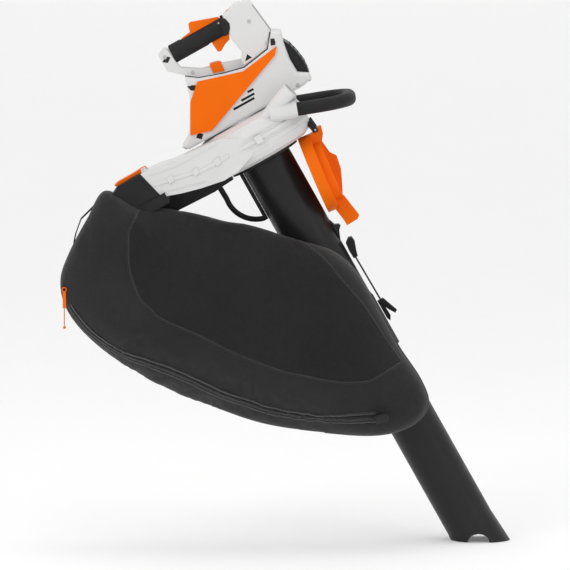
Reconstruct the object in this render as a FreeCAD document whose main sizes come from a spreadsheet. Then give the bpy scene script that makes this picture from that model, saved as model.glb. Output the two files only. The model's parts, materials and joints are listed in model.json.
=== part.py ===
import FreeCAD, Part
import Sketcher
import math
import os
from FreeCAD import Placement, Rotation, Vector

doc = FreeCAD.newDocument("leaf_vacuum_mulcher")

# ---------------------------------------- driving dimensions (millimetres, degrees)
DIMENSIONS = {
    "lean_angle": 29.25,  # tube axis from upright, as the machine is held
    "grip_rise": 296,  # grip axis above the underside of the fan housing
    "grip_radius": 21,
    "grip_core_radius": 16,
    "wall": 3,
    "motor_half_width": 58,
    "motor_edge_radius": 10,
    "panel_rise": 5,
    "handle_half_width": 19,
    "block_half_width": 46,
    "block_edge_radius": 4,
    "bay_half_width": 40,
    "fan_radius": 128,
    "fan_height": 93,
    "duct_half_width": 38,
    "duct_side": 89,  # centre of the outlet duct, on the near side of the tube axis
    "impeller_radius": 104,
    "shaft_radius": 4,
    "running_gap": 0.05,
    "tube_radius": 57.5,
    "lower_tube_radius": 54.4,
    "ground_drop": 1105,  # ground below the grip
    "ring_rod_radius": 15,
    "ring_half_span": 104,
    "cover_radius": 88,
    "cover_band": 26,
    "loop_rod_radius": 6.2,
    "bag_wall": 2.5,
    "bag_near": 215,
    "bag_far": 45,
    "screw_radius": 4.5,
    "pin_radius": 2,
    "strap_width": 20,
}
sheet = doc.addObject("Spreadsheet::Sheet", "dims")
for row, (alias, number) in enumerate(DIMENSIONS.items(), start=1):
    sheet.set(f"A{row}", alias)
    sheet.set(f"B{row}", str(number))
    sheet.setAlias(f"B{row}", alias)
doc.recompute()


def dim(alias):
    """The present value of one driving dimension."""
    return float(sheet.get(alias))


LEAN = math.radians(dim("lean_angle"))
# The machine frame: z along the suction tube, x towards the tube's front, its origin on the tube axis
# at the underside of the fan housing. The part's own origin is the middle of the rear grip.
MACHINE = Placement(
    Vector(dim("grip_rise") * math.sin(LEAN), 0, -dim("grip_rise") * math.cos(LEAN)),
    Rotation(Vector(0, 1, 0), -dim("lean_angle")),
)
GROUND = -dim("ground_drop")
PIECES = []


def keep(piece, label, placement=None):
    """Names a finished sub-part and puts it on the list of those written out."""
    piece.Label = label
    if placement is not None:
        piece.Placement = placement
    PIECES.append(piece)
    return piece


# ---------------------------------------- sketch and feature helpers


class Piece:
    """A PartDesign body that is built feature by feature in the machine frame."""

    def __init__(self, label, placement=MACHINE, listed=True):
        self.body = doc.addObject("PartDesign::Body", label)
        self.body.Placement = placement
        self.label = label
        self.count = 0
        if listed:
            keep(self.body, label)

    def sketch(self, plane="XZ_Plane", shift=0):
        """An empty sketch on one origin plane, moved along the plane's normal."""
        self.count += 1
        made = self.body.newObject("Sketcher::SketchObject", f"{self.label}_sketch{self.count}")
        origin = [feature for feature in self.body.Origin.OriginFeatures if feature.Role == plane][0]
        made.AttachmentSupport = [(origin, "")]
        made.MapMode = "FlatFace"
        made.AttachmentOffset = Placement(Vector(0, 0, shift), Rotation())
        return made

    def outline(self, points, plane="XZ_Plane", shift=0):
        made = self.sketch(plane, shift)
        for start, end in zip(points, points[1:] + points[:1]):
            made.addGeometry(Part.LineSegment(Vector(*start, 0), Vector(*end, 0)), False)
        for index in range(len(points)):
            follower = (index + 1) % len(points)
            made.addConstraint(Sketcher.Constraint("Coincident", index, 2, follower, 1))
        return made

    def circles(self, centres, radius, plane="XZ_Plane", shift=0):
        """Equal circles whose radius follows the expression."""
        made = self.sketch(plane, shift)
        for centre in centres:
            index = made.addGeometry(Part.Circle(Vector(*centre, 0), Vector(0, 0, 1), 5), False)
            limit = made.addConstraint(Sketcher.Constraint("Radius", index, 5))
            made.setExpression(f"Constraints[{limit}]", radius)
        return made

    def _feature(self, kind, sketch, length, both):
        self.count += 1
        made = self.body.newObject(f"PartDesign::{kind}", f"{self.label}_{kind.lower()}{self.count}")
        made.Profile = sketch
        made.setExpression("Length", length)
        made.Midplane = both
        return made

    def pad(self, sketch, length, both=False):
        made = self._feature("Pad", sketch, length, both)
        doc.recompute()
        return made

    def cut(self, sketch, length, both=False):
        """Cuts along the sketch plane's normal, or both ways, and tells if nothing was cut."""
        before = self.body.Shape.Volume
        made = self._feature("Pocket", sketch, length, both)
        made.Reversed = not both
        doc.recompute()
        if self.body.Shape.Volume > before - 1:
            raise RuntimeError(f"{made.Name} cut nothing: {made.State}, base {before}")
        return made

    def turn(self, points, groove=False):
        """Turns an outline of (radius, height) points about the machine's z axis."""
        kind = "Groove" if groove else "Revolution"
        sketch = self.outline(points)
        made = self.body.newObject(f"PartDesign::{kind}", f"{self.label}_{kind.lower()}{self.count}")
        made.Profile = sketch
        made.ReferenceAxis = (sketch, ["V_Axis"])
        made.Angle = 360
        doc.recompute()
        return made

    def fillet(self, radius, faces):
        """Rounds every edge of the faces that the test picks."""
        base = self.body.Tip
        picked = [f"Face{i}" for i, face in enumerate(base.Shape.Faces, start=1) if faces(face)]
        made = self.body.newObject("PartDesign::Fillet", f"{self.label}_fillet{self.count}")
        made.Base = (base, picked)
        made.setExpression("Radius", radius)
        doc.recompute()
        return made

    def rod(self, path, radius, plane="XZ_Plane"):
        """A round rod along a path of lines and arcs, given as Part edges in one origin plane."""
        route = self.sketch(plane)
        for edge in path:
            route.addGeometry(edge, False)
        section = self.body.newObject("Sketcher::SketchObject", f"{self.label}_section")
        section.AttachmentSupport = [(route, "Edge1")]
        section.MapMode = "NormalToEdge"
        index = section.addGeometry(Part.Circle(Vector(0, 0, 0), Vector(0, 0, 1), 5), False)
        limit = section.addConstraint(Sketcher.Constraint("Radius", index, 5))
        section.setExpression(f"Constraints[{limit}]", radius)
        doc.recompute()
        pipe = self.body.newObject("PartDesign::AdditivePipe", f"{self.label}_pipe")
        pipe.Profile = (section, [""])
        pipe.Spine = (route, [f"Edge{i + 1}" for i in range(len(path))])
        doc.recompute()
        return pipe


def side_face(y):
    """Picks the flat faces at one distance from the middle plane."""
    return lambda face: abs(face.CenterOfMass.y - y) < 0.01 and face.BoundBox.YLength < 0.01


def inset(points, distance):
    """The same outline moved inwards, corner by corner."""
    area = sum(a[0] * b[1] - b[0] * a[1] for a, b in zip(points, points[1:] + points[:1]))
    inward = distance if area > 0 else -distance
    moved = []
    for before, here, after in zip(points[-1:] + points[:-1], points, points[1:] + points[:1]):
        first = Vector(here[0] - before[0], here[1] - before[1], 0).normalize()
        second = Vector(after[0] - here[0], after[1] - here[1], 0).normalize()
        normal = Vector(-first.y - second.y, first.x + second.x, 0)
        scale = inward / (1 + first.dot(second))
        moved.append((here[0] + normal.x * scale, here[1] + normal.y * scale))
    return moved


def rectangle(x_low, z_low, x_high, z_high):
    return [(x_low, z_low), (x_high, z_low), (x_high, z_high), (x_low, z_high)]


def ring(inner, outer, low, high):
    return [(inner, low), (outer, low), (outer, high), (inner, high)]


def mirrored(source, label):
    """The same shell for the other side of the machine."""
    made = doc.addObject("Part::Mirroring", label)
    made.Source = source
    made.Normal = (0, 1, 0)
    made.Base = (0, 0, 0)
    return keep(made, label)


def cylinder(name, radius, length, place):
    made = doc.addObject("Part::Cylinder", name)
    made.setExpression("Radius", radius)
    made.setExpression("Height", length)
    made.Placement = place
    return made


def group(label, members):
    """Several equal small pieces that stay separate solids in one sub-part."""
    made = doc.addObject("Part::Compound", label)
    made.Links = members
    return keep(made, label)


def across(x, y, z):
    """Stands a cylinder on a point of the machine frame, along the machine's y axis towards the far side."""
    return MACHINE * Placement(Vector(x, y, z), Rotation(Vector(1, 0, 0), -90))


# ---------------------------------------- motor housing, in two halves
SEAM = [(-63, 243), (-38, 225), (12, 207.5), (60, 196), (124, 206), (149, 237)]
motor_outline = SEAM + [
    (168, 226), (162, 203), (156, 165), (157, 132), (178, 118), (175.5, 101), (154, 96), (-134, 96),
    (-145, 110), (-117, 128), (-79, 190),
]
motor_right = Piece("motor_housing_right")
motor_right.pad(motor_right.outline(motor_outline), "dims.motor_half_width")
motor_right.fillet("dims.motor_edge_radius", side_face(-dim("motor_half_width")))
cavity = inset(motor_outline, dim("wall"))
FAN_TOP = dim("fan_height") + dim("wall")
cavity_open = [(x, FAN_TOP - 10 if abs(z - FAN_TOP - dim("wall")) < 1 else z) for x, z in cavity]
motor_right.cut(motor_right.outline(cavity_open), "dims.motor_half_width - dims.wall")
for x_low, x_high, z_slot in ((-5, 47, 128), (19, 52, 136.5), (40, 55, 146)):
    slot = motor_right.outline(rectangle(x_low, z_slot - 2.6, x_high, z_slot + 2.6), shift=40)
    motor_right.cut(slot, "dims.motor_half_width")
boss_places = [(-99, 113), (-59, 215), (143, 213), (143, 106)]
bosses = motor_right.circles(boss_places, "dims.screw_radius + 4")
motor_right.pad(bosses, "dims.motor_half_width - 2")
motor_right.cut(motor_right.circles(boss_places, "dims.screw_radius", shift=44), "dims.motor_half_width")
mirrored(motor_right.body, "motor_housing_left")

# ---------------------------------------- orange side panels, creased along the middle
panel_outline = [(-44, 220), (54, 191), (120, 200), (144, 203), (132, 188), (-69, 111), (-115, 125),
                 (-80, 188)]
crease_start, crease_end = Vector(-100, 0, 131), Vector(60, 0, 178)
crease_run = crease_end - crease_start
crease_turn = -math.degrees(math.atan2(crease_run.z, crease_run.x))
CREASE_TILT = 2.6
panel = Piece("side_panel_blank", listed=False)
panel.pad(
    panel.outline(panel_outline, shift=dim("motor_half_width") - 10), "dims.panel_rise + 10"
)


def crease_side(name, turned):
    """A block whose face trims one flank of the panel down from the crease."""
    block = doc.addObject("Part::Box", name)
    block.Length = 500
    block.Width = 100
    block.Height = 200
    face = Placement(Vector(-200, -100, 0 if turned > 0 else -200), Rotation())
    at_crease = Vector(crease_start.x, -dim("motor_half_width") - dim("panel_rise"), crease_start.z)
    along = Placement(at_crease, Rotation(Vector(0, 1, 0), crease_turn))
    tilt = Placement(Vector(0, 0, 0), Rotation(Vector(1, 0, 0), turned * CREASE_TILT))
    block.Placement = MACHINE * along * tilt * face
    return block


housing_core = Piece("housing_core", listed=False)
housing_core.pad(housing_core.outline(motor_outline), "dims.motor_half_width")
housing_core.fillet("dims.motor_edge_radius", side_face(-dim("motor_half_width")))
trimmed = doc.addObject("Part::MultiFuse", "panel_trim")
trimmed.Shapes = [housing_core.body, crease_side("crease_above", -1), crease_side("crease_below", 1)]
panel_right = doc.addObject("Part::Cut", "side_panel_right")
panel_right.Base = panel.body
panel_right.Tool = trimmed
keep(panel_right, "side_panel_right")
mirrored(panel_right, "side_panel_left")

# ---------------------------------------- handle housing and battery bay, in two halves
strut_outline = [(-93, 311), (-76, 318), (-70, 316), (-66, 279), (-63, 262), (-25, 238), (18, 227), (61, 213),
                 (72, 229), (80, 240), (110, 204)] + SEAM[3::-1] + [(-92, 269)]
block_outline = [(72, 229), (66, 262), (73, 318), (102, 325), (107, 327), (139, 319), (149, 238),
                 (124, 206.5), (61, 197), (61, 213)]
bay_outline = rectangle(92, 232, 160, 306)
TRIGGER_PIVOT, LOCKOUT_PIVOT, LOCK_PIVOT = (62, 286), (57, 307), (88, 294)
handle_right = Piece("handle_housing_right")
handle_right.pad(handle_right.outline(block_outline), "dims.block_half_width")
handle_right.fillet("dims.block_edge_radius", side_face(-dim("block_half_width")))
handle_right.pad(handle_right.outline(strut_outline), "dims.handle_half_width")
core_sketch = handle_right.sketch("YZ_Plane", -80)
core_sketch.addGeometry(
    Part.ArcOfCircle(
        Part.Circle(Vector(0, dim("grip_rise"), 0), Vector(0, 0, 1), dim("grip_core_radius")),
        math.pi / 2, 3 * math.pi / 2,
    ), False)
core_sketch.addGeometry(Part.LineSegment(Vector(0, dim("grip_rise") - dim("grip_core_radius"), 0),
                                         Vector(0, dim("grip_rise") + dim("grip_core_radius"), 0)), False)
handle_right.pad(core_sketch, "160")
handle_right.cut(handle_right.outline(bay_outline), "dims.bay_half_width")
handle_right.cut(handle_right.outline(rectangle(-60, 286, 85, 306)), "11")
handle_right.cut(handle_right.outline(rectangle(16, 262, 72, 300)), "8")  # trigger slot
handle_right.cut(handle_right.outline(rectangle(-36, 300, 67, 330)), "9")  # lockout lever slot
handle_right.cut(handle_right.outline(rectangle(80, 284, 105, 340)), "10")  # battery lock slot
handle_right.cut(handle_right.outline(rectangle(80, 236, 89, 282)), "dims.bay_half_width")
handle_right.cut(handle_right.circles([TRIGGER_PIVOT], "dims.pin_radius"), "12")
handle_right.cut(handle_right.circles([LOCKOUT_PIVOT, LOCK_PIVOT], "dims.pin_radius"), "18")
mirrored(handle_right.body, "handle_housing_left")

grip = Piece("grip_sleeve")
grip.pad(grip.circles([(0, dim("grip_rise"))], "dims.grip_radius", "YZ_Plane", -65.7), "131.5")
grip.fillet("3", lambda face: face.BoundBox.XLength < 0.01)
grip.cut(grip.circles([(0, dim("grip_rise"))], "dims.grip_core_radius", "YZ_Plane", -70), "150")
grip.cut(grip.outline(rectangle(16, 262, 80, 296)), "16.4", both=True)
grip.cut(grip.outline(rectangle(-36, 296, 67, 330)), "18.4", both=True)
grip.cut(grip.circles([LOCKOUT_PIVOT], "dims.pin_radius", shift=-30), "60")

# ---------------------------------------- trigger, lockout lever, battery lock, button
trigger = Piece("trigger")
trigger.pad(
    trigger.outline([(24, 288), (23, 271), (25, 252), (32, 250), (47, 259), (60, 263), (69, 280), (69, 292),
                     (56, 292)]),
    "14", both=True)
trigger.cut(trigger.circles([TRIGGER_PIVOT], "dims.pin_radius + dims.running_gap"), "20", both=True)
lockout = Piece("lockout_lever")
lockout.pad(
    lockout.outline([(-2, 337), (4, 338.5), (62, 318.5), (64, 313), (63, 302), (50, 302), (-30, 312),
                     (-31, 316.5), (-8, 319.5)]),
    "16", both=True)
lockout.cut(lockout.circles([LOCKOUT_PIVOT], "dims.pin_radius + dims.running_gap"), "20", both=True)
battery_lock = Piece("battery_lock_lever")
battery_lock.pad(
    battery_lock.outline([(84, 322), (87, 323), (92, 312), (98, 309), (101, 304), (100, 290), (92, 288),
                          (85, 289), (84, 296)]),
    "18", both=True)
battery_lock.cut(battery_lock.circles([LOCK_PIVOT], "dims.pin_radius + dims.running_gap"), "30", both=True)
button = Piece("speed_button")
button.pad(button.outline([(-6, 217), (-5, 236.5), (-2, 238), (14, 233.8), (19.5, 230), (18, 209.6)]),
           "44", both=True)
button.cut(button.outline([(-25, 190), (-25, 239.8), (18, 228.8), (40, 221.6), (40, 190)]), "38.8", both=True)
pins = [
    cylinder("trigger_pin", "dims.pin_radius", "20", across(TRIGGER_PIVOT[0], -10, TRIGGER_PIVOT[1])),
    cylinder("lockout_pin", "dims.pin_radius", "36", across(LOCKOUT_PIVOT[0], -18, LOCKOUT_PIVOT[1])),
    cylinder("lock_pin", "dims.pin_radius", "36", across(LOCK_PIVOT[0], -18, LOCK_PIVOT[1])),
]

# ---------------------------------------- fan housing: volute and outlet duct, in two halves
FAN = dim("fan_radius")
duct_top = [(-8, 50), (-8, 64), (-60, 91), (-136, 96), (-172, 99), (-202, 106), (-248, 108), (-239.5, 75),
            (-123, 50)]
duct_bottom = [(-14, 50), (-123, 50), (-239.5, 75), (-231, 42), (-190, 28), (-148, 17), (-95, 7), (-60, 9),
               (-14, 26)]
duct_bore = [(-34, 24), (-60, 12.5), (-96, 10.5), (-147, 20), (-189, 31), (-238, 46), (-262, 44), (-262, 104),
             (-200, 103), (-171, 96), (-136, 93), (-60, 86.5), (-34, 70)]
DUCT_NEAR = dim("duct_side") - dim("duct_half_width")


fan_upper = Piece("fan_housing_upper")
fan_upper.turn([(0, 50), (FAN + 4, 50), (FAN + 4, 54), (FAN, 54), (FAN, 66), (FAN - 4, 78), (FAN - 14, 88),
                (FAN - 30, 94), (FAN - 40, 96), (0, 96)])
fan_upper.pad(fan_upper.outline(duct_top, shift=DUCT_NEAR), "2 * dims.duct_half_width")
fan_upper.turn([(0, 49), (FAN - 3, 49), (FAN - 3, 66), (FAN - 7, 77), (FAN - 16, 85.5), (FAN - 31, 91),
                (FAN - 40, 93), (0, 93)], groove=True)
fan_upper.cut(fan_upper.outline(duct_bore, shift=DUCT_NEAR + dim("wall")),
              "2 * dims.duct_half_width - 2 * dims.wall")
fan_upper.cut(fan_upper.circles([(0, 0)], "15.5", "XY_Plane", 90), "20")
LATCH_PIVOT = (-238, 113)
LUG_NEAR, LUG_FAR = 109, 64
for lug in (LUG_NEAR, LUG_FAR):
    lug_outline = [(-246, 105.5), (-230, 105.5), (-233, 116.5), (-243, 116.5)]
    fan_upper.pad(fan_upper.outline(lug_outline, shift=lug), "5")
fan_upper.cut(fan_upper.circles([LATCH_PIVOT], "dims.pin_radius", shift=LUG_FAR - 4), "60")

fan_lower = Piece("fan_housing_lower")
fan_lower.turn([(0, 3), (FAN - 24, 3), (FAN - 10, 10), (FAN - 3, 22), (FAN, 34), (FAN, 46), (FAN + 4, 46),
                (FAN + 4, 50), (0, 50)])
fan_lower.pad(fan_lower.outline(duct_bottom, shift=DUCT_NEAR), "2 * dims.duct_half_width")
fan_lower.turn([(0, 8), (FAN - 26, 8), (FAN - 12, 13), (FAN - 6, 23), (FAN - 3, 34), (FAN - 3, 51), (0, 51)],
               groove=True)
fan_lower.cut(fan_lower.outline(duct_bore, shift=DUCT_NEAR + dim("wall")),
              "2 * dims.duct_half_width - 2 * dims.wall")
fan_lower.turn(ring(50, 54.6, -22, 8))
fan_lower.cut(fan_lower.circles([(0, 0)], "50", "XY_Plane", -30), "60")

# Sockets for the front handle stand out of the upper half on both sides.
HANDLE_SLOPE = 20
SOCKET_START = Vector(62, 0, 84.4)
slope_place = Placement(SOCKET_START, Rotation(Vector(0, 1, 0), 90 + HANDLE_SLOPE))
sockets = []
for side in (-1, 1):
    place = MACHINE * Placement(Vector(0, side * dim("ring_half_span"), 0), Rotation()) * slope_place
    outer = cylinder(f"socket_{side + 1}", "dims.ring_rod_radius + 4", "60", place)
    bore = cylinder(f"socket_bore_{side + 1}", "dims.ring_rod_radius + 0.2", "70",
                    place * Placement(Vector(0, 0, 22), Rotation()))
    sockets.append((outer, bore))
chamber = Piece("fan_chamber", listed=False)
chamber.turn([(0, 45), (FAN - 3.4, 45), (FAN - 3.4, 66), (FAN - 7.4, 76.6), (FAN - 16.4, 85.1),
              (FAN - 31.4, 90.6), (FAN - 40.4, 92.6), (0, 92.6)])
socket_trim = doc.addObject("Part::Box", "socket_trim")
socket_trim.Length = 400
socket_trim.Width = 400
socket_trim.Height = 100
socket_trim.Placement = MACHINE * Placement(Vector(-200, -200, -50), Rotation())
fan_top = doc.addObject("Part::MultiFuse", "fan_top_with_sockets")
fan_top.Shapes = [fan_upper.body] + [outer for outer, bore in sockets]
fan_tools = doc.addObject("Part::MultiFuse", "fan_top_tools")
fan_tools.Shapes = [chamber.body, socket_trim] + [bore for outer, bore in sockets]
fan_housing_upper = doc.addObject("Part::Cut", "fan_housing_upper_cut")
fan_housing_upper.Base = fan_top
fan_housing_upper.Tool = fan_tools
PIECES.remove(fan_upper.body)
fan_upper.body.Label = "fan_upper_blank"
keep(fan_housing_upper, "fan_housing_upper")

clips = []
for index, degrees in enumerate((-84, 24, 84, 130)):
    clip = doc.addObject("Part::Box", f"clip_{index}")
    clip.Length = 5
    clip.Width = 16
    clip.Height = 18
    clip.Placement = MACHINE * Placement(Vector(0, 0, 0), Rotation(Vector(0, 0, 1), degrees)) * Placement(
        Vector(FAN + 4.2, -8, 40), Rotation())
    clips.append(clip)
group("fan_clips", clips)

# ---------------------------------------- motor and fan
SHAFT = dim("shaft_radius")
BORE = SHAFT + dim("running_gap")
mount = Piece("motor_mount")
mount.turn([(11, 96), (54, 96), (54, 100), (40, 100), (40, 168), (37, 168), (37, 104), (16, 104), (16, 110),
            (11, 110)])
cap = Piece("motor_end_cap")
cap.turn([(7, 168), (40, 168), (40, 173), (16, 173), (16, 184), (11, 184), (11, 174), (7, 174)])
stator = Piece("motor_stator")
stator.turn(ring(25, 37, 120, 160))
bearings = Piece("motor_bearing_lower")
bearings.turn(ring(BORE, 11, 100, 109))
bearing_top = Piece("motor_bearing_upper")
bearing_top.turn(ring(BORE, 11, 174.2, 183))
shaft = Piece("motor_shaft")
shaft.turn([(0, 10), (SHAFT, 10), (SHAFT, 186), (0, 186)])
rotor = Piece("motor_rotor")
rotor.turn(ring(SHAFT, 24, 122, 158))
IMPELLER = dim("impeller_radius")
impeller = Piece("impeller")
impeller.turn([(SHAFT, 30), (16, 30), (24, 68), (IMPELLER, 76), (IMPELLER, 79), (22, 79), (14, 82),
               (SHAFT, 82)])
blade = impeller.outline([(30, -1.5), (IMPELLER - 2, -1.5), (IMPELLER - 2, 1.5), (30, 1.5)], "XY_Plane", 28)
vane = impeller.pad(blade, "47")
vanes = impeller.body.newObject("PartDesign::PolarPattern", "impeller_vanes")
vanes.Originals = [vane]
vanes.Axis = (blade, ["N_Axis"])
vanes.Angle = 360
vanes.Occurrences = 8
impeller.body.Tip = vanes
doc.recompute()
cutter = Piece("shredder_blade")
cutter.pad(cutter.outline([(-44, -8), (44, -8), (47, -3), (47, 3), (44, 8), (-44, 8), (-47, 3), (-47, -3)],
                          "XY_Plane", 24), "4")
cutter.cut(cutter.circles([(0, 0)], "dims.shaft_radius", "XY_Plane", 20), "12")
nut = Piece("blade_nut")
nut_points = [(8 * math.cos(math.radians(60 * k)), 8 * math.sin(math.radians(60 * k))) for k in range(6)]
nut.pad(nut.outline(nut_points, "XY_Plane", 16), "8")
nut.cut(nut.circles([(0, 0)], "dims.shaft_radius", "XY_Plane", 10), "16")
spacer = Piece("blade_spacer")
spacer.turn(ring(SHAFT, 9, 28, 30))

# ---------------------------------------- electrics
board = Piece("controller_board")
board.pad(board.outline(rectangle(72, 176, 140, 178)), "70", both=True)
board.pad(board.outline(rectangle(80, 178, 112, 190)), "40", both=True)
terminals = Piece("battery_terminals")
terminals.pad(terminals.outline(rectangle(92, 250, 99, 284)), "60", both=True)
terminals.pad(terminals.outline(rectangle(99, 256, 116, 282), shift=18), "2")
terminals.pad(terminals.outline(rectangle(99, 256, 116, 282), shift=-20), "2")
microswitch = Piece("trigger_switch")
microswitch.pad(microswitch.outline(rectangle(-20, 290, 10, 302)), "16", both=True)

# ---------------------------------------- rear air grille
grille = Piece("rear_grille")
grille.pad(grille.outline([(163.2, 205.5), (171, 192), (177, 169), (180.8, 144), (178.6, 118.5),
                           (157.4, 132.4), (156.4, 165)]), "96", both=True)
grille.fillet("4", lambda face: abs(abs(face.CenterOfMass.y) - 48) < 0.01 and face.BoundBox.YLength < 0.01)
grille.cut(grille.outline([(150, 165), (160.5, 199), (168.4, 190.5), (174.1, 168.5), (177.7, 143.9),
                           (176.2, 125), (150, 142)]), "88", both=True)
GRILLE_SLOTS, SLOT_PITCH = 6, 12
for level in range(GRILLE_SLOTS):
    z_slot = 128 + SLOT_PITCH * level
    grille.cut(grille.outline(rectangle(165, z_slot, 190, z_slot + 5)), "70", both=True)

# ---------------------------------------- bag adapter, its band and latch
adapter_outline = [(-248.4, 108.4), (-305, 109), (-326, 98), (-330, 78), (-316, 24), (-226, 24), (-231.4, 42)]
adapter_bore = [(-200, 105), (-303, 106), (-323, 96), (-327, 78), (-312.5, 0), (-229, 0), (-229.5, 30),
                (-200, 48)]
adapter = Piece("bag_adapter")
adapter.pad(adapter.outline(adapter_outline, shift=DUCT_NEAR - 1), "2 * dims.duct_half_width + 2")
adapter.cut(adapter.outline(adapter_bore, shift=DUCT_NEAR + 3), "2 * dims.duct_half_width - 6")
BAND_LOW = 24
collar = Piece("bag_collar")
collar.pad(collar.outline(rectangle(-334, -134, -222, -44), "XY_Plane", BAND_LOW), "24")
adapter_core = Piece("adapter_core", listed=False)
core_outline = adapter_core.outline(adapter_outline, shift=DUCT_NEAR - 1.2)
adapter_core.pad(core_outline, "2 * dims.duct_half_width + 2.4")
collar_cut = doc.addObject("Part::Cut", "bag_collar_cut")
collar_cut.Base = collar.body
duct_core = Piece("duct_core", listed=False)
duct_core.pad(duct_core.outline([(-231.9, 41.2), (-190, 27.4), (-148, 16), (-148, 110), (-249, 110)],
                                shift=DUCT_NEAR - 0.2), "2 * dims.duct_half_width + 0.4")
collar_tools = doc.addObject("Part::MultiFuse", "collar_tools")
collar_tools.Shapes = [adapter_core.body, duct_core.body]
collar_cut.Tool = collar_tools
PIECES.remove(collar.body)
collar.body.Label = "collar_blank"
keep(collar_cut, "bag_collar")
latch = Piece("adapter_latch")
latch.pad(latch.outline([(-309, 109.5), (-310.5, 113.5), (-300, 116), (-262, 116), (-240, 117.2),
                         (-236, 116.9), (-233.9, 114.5), (-233.9, 111.5), (-236, 109.2), (-240, 109.2),
                         (-262, 110.2)], shift=LUG_FAR + 7), "36")
latch.cut(latch.circles([LATCH_PIVOT], "dims.pin_radius + dims.running_gap", shift=DUCT_NEAR), "80")
latch_pin_end = across(LATCH_PIVOT[0], -LUG_NEAR - 5, LATCH_PIVOT[1])
pins.append(cylinder("latch_pin", "dims.pin_radius", "50", latch_pin_end))

# ---------------------------------------- support bar and loop
COLLAR_RADIUS = 80
support = Piece("support_bar")
support.pad(support.outline([(-294, 22), (-290, 32), (-240, 36), (-190, 24), (-140, 13), (-118, 6),
                             (-104, 1.6), (-COLLAR_RADIUS - 1.5, 1.6), (-COLLAR_RADIUS - 1.5, -7),
                             (-112, -9), (-130, -11), (-229, -7), (-262, 0), (-284, 12)], shift=4), "36")
loop = Piece("support_loop")
loop.rod([
    Part.LineSegment(Vector(-118, -11.2, 0), Vector(-117, -40, 0)),
    Part.Arc(Vector(-117, -40, 0), Vector(-104, -92, 0), Vector(-66, -117, 0)),
], "dims.loop_rod_radius")
RIB_LOW, RIB_HIGH = -122, -8
loop.pad(loop.outline(rectangle(-66.5, RIB_LOW, -58.2, RIB_HIGH)), "11", both=True)

# ---------------------------------------- front ring handle
ring_place = MACHINE * Placement(SOCKET_START, Rotation(Vector(0, 1, 0), HANDLE_SLOPE))
SPAN = dim("ring_half_span")
ring_handle = Piece("ring_handle", ring_place)
TURN = 66
REACH = 190 - TURN - dim("ring_rod_radius")
inner_span = SPAN - TURN
diagonal = TURN * math.sqrt(0.5)
ring_handle.rod([
    Part.LineSegment(Vector(24, -SPAN, 0), Vector(REACH, -SPAN, 0)),
    Part.Arc(Vector(REACH, -SPAN, 0), Vector(REACH + diagonal, -inner_span - diagonal, 0),
             Vector(REACH + TURN, -inner_span, 0)),
    Part.LineSegment(Vector(REACH + TURN, -inner_span, 0), Vector(REACH + TURN, inner_span, 0)),
    Part.Arc(Vector(REACH + TURN, inner_span, 0), Vector(REACH + diagonal, inner_span + diagonal, 0),
             Vector(REACH, SPAN, 0)),
    Part.LineSegment(Vector(REACH, SPAN, 0), Vector(24, SPAN, 0)),
], "dims.ring_rod_radius", "XY_Plane")

# ---------------------------------------- inlet cover, hanging open beside the tube
HINGE = Vector(128, 0, 0)
COVER_TILT = 6.3
cover_place = MACHINE * Placement(HINGE, Rotation(Vector(0, 1, 0), COVER_TILT))
cover_centre = -dim("cover_radius") - 5
BAND = -44  # the band's inner rim, beside the tube
FACE = BAND + dim("cover_band")
cover = Piece("intake_cover", cover_place)
cover.pad(cover.circles([(0, cover_centre)], "dims.cover_radius", "YZ_Plane", BAND), "dims.cover_band")
cover.cut(cover.circles([(0, cover_centre)], "dims.cover_radius - dims.wall", "YZ_Plane", BAND - 1), "24")
cover.pad(cover.circles([(0, cover_centre)], "dims.cover_radius - 18", "YZ_Plane", FACE - 1), "18")
cover.cut(cover.circles([(0, cover_centre)], "dims.cover_radius - 22", "YZ_Plane", FACE - 6), "20")
ribs = cover.outline([(FACE - 1, -36), (3, -30), (9.4, -60), (20.4, -72), (18, -102), (12, -121.5), (0, -155),
                      (FACE - 1, -172)],
                     shift=-3)
cover.pad(ribs, "6")
for side in (-1, 1):
    rib = cover.outline([(FACE - 1, -36), (2, -38), (6, -70), (6, -110), (0, -146), (FACE - 1, -150)],
                        shift=side * 34 - 2)
    cover.pad(rib, "4")
cover.pad(cover.outline([(-30, -10), (-8, -5), (-4.5, 2), (0, 4.5), (4.5, 2), (14, 1), (12, -15), (3, -30),
                         (FACE - 1, -37), (-30, -22)], shift=-26), "52")
cover.cut(cover.circles([(0, 0)], "dims.pin_radius + dims.running_gap", shift=-40), "80")
cover.pad(cover.outline([(-30, -170), (-22, -200), (-19, -213), (-18, -222), (9, -218), (15, -212), (8, -186),
                         (1, -160), (-17, -156)],
                        shift=-16), "32")
hinge_pin = Piece("cover_hinge_pin", cover_place)
hinge_pin.pad(hinge_pin.circles([(0, 0)], "dims.pin_radius", shift=-32), "64")
bracket = Piece("bracket_blank", cover_place, listed=False)
for side in (-1, 1):
    ear = bracket.outline([(-6, -5), (5, -5), (5, 4), (0, 26), (-14, 20)], shift=side * 29.5 - 2.5)
    bracket.pad(ear, "5")
bracket.cut(bracket.circles([(0, 0)], "dims.pin_radius", shift=-40), "80")
fan_core = Piece("fan_core", listed=False)
fan_core.turn([(0, 3), (FAN - 24, 3), (FAN - 10, 10), (FAN - 3, 22), (FAN, 34), (FAN, 46), (FAN + 4, 46),
               (FAN + 4, 50), (0, 50)])
bracket_cut = doc.addObject("Part::Cut", "cover_hinge_bracket")
bracket_cut.Base = bracket.body
bracket_cut.Tool = fan_core.body
keep(bracket_cut, "cover_hinge_bracket")

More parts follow.
